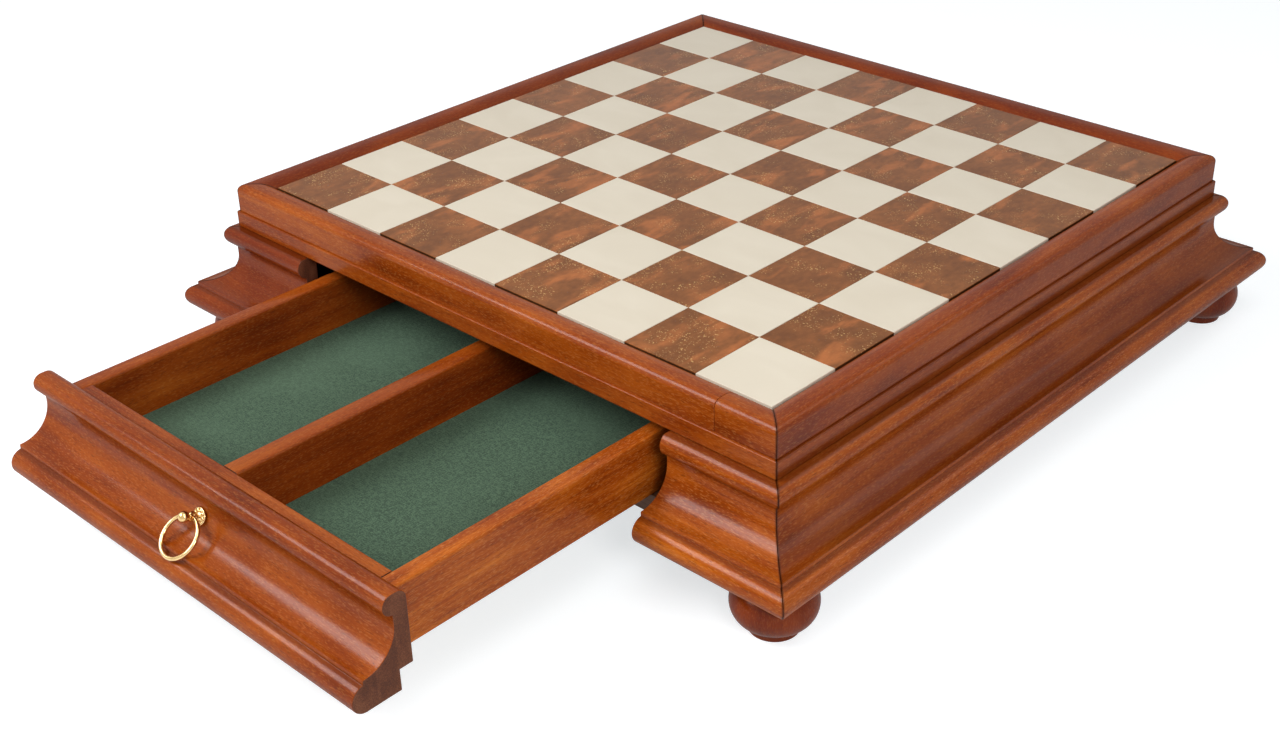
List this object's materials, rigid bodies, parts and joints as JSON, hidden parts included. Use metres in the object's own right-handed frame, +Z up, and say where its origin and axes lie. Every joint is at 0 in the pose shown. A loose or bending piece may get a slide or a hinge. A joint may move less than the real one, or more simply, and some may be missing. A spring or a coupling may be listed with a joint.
{
  "type": "chess box",
  "caption": "Chess board of stone squares in a moulded wooden frame, on a coved box with bun feet and a felt-lined drawer with a brass ring pull.",
  "frame": {"origin": "middle of the case, between the four feet, on the surface that the box stands on", "axes": "+Z up; +Y from the drawer's side to the back, so the drawer slides out along -Y; +X to the right as seen from the drawer"},
  "size_m": [0.3782, 0.5132, 0.0872],
  "materials": {
    "mahogany": "stained red-brown hardwood, satin varnish",
    "plywood": "plain sanded plywood",
    "runner_wood": "planed softwood",
    "dark_stone": "polished brown stone with orange veins",
    "light_stone": "polished cream alabaster",
    "green_felt": "short-nap dark green baize",
    "polished_brass": "polished brass",
    "screw_steel": "zinc-plated steel"
  },
  "bodies": {
    "case": {"frame_front": "mahogany", "frame_front_splice": "mahogany", "frame_back": "mahogany", "frame_left": "mahogany", "frame_right": "mahogany", "band_front": "mahogany", "band_back": "mahogany", "band_left": "mahogany", "band_right": "mahogany", "base_left": "mahogany", "base_right": "mahogany", "base_back": "mahogany", "base_front_left": "mahogany", "base_front_right": "mahogany", "foot_front_left": "mahogany", "foot_front_right": "mahogany", "foot_back_left": "mahogany", "foot_back_right": "mahogany", "top_panel": "plywood", "bottom_panel": "plywood", "guide_left": "runner_wood", "guide_right": "runner_wood", "kicker_left": "runner_wood", "kicker_right": "runner_wood", "stop_left": "runner_wood", "stop_right": "runner_wood", "dark_squares": "dark_stone", "light_squares": "light_stone", "board_slab": "light_stone"},
    "drawer": {"drawer_front": "mahogany", "drawer_inner_front": "mahogany", "drawer_side_left": "mahogany", "drawer_side_right": "mahogany", "drawer_back": "mahogany", "drawer_divider": "mahogany", "drawer_floor": "plywood", "felt_left": "green_felt", "felt_right": "green_felt", "front_screws": "screw_steel", "pull_rosette": "polished_brass", "pull_post": "polished_brass"},
    "ring": {"pull_ring": "polished_brass"}
  },
  "joints": [
    {"name": "drawer_slide", "type": "slide", "parent": "case", "child": "drawer", "axis": [0, -1, 0], "range_m": [-0.135, 0.065]},
    {"name": "ring_hinge", "type": "hinge", "parent": "drawer", "child": "ring", "pos_m": [0, -0.30863, 0.04716], "axis": [-1, 0, 0], "range_deg": [0, 125]}
  ]
}
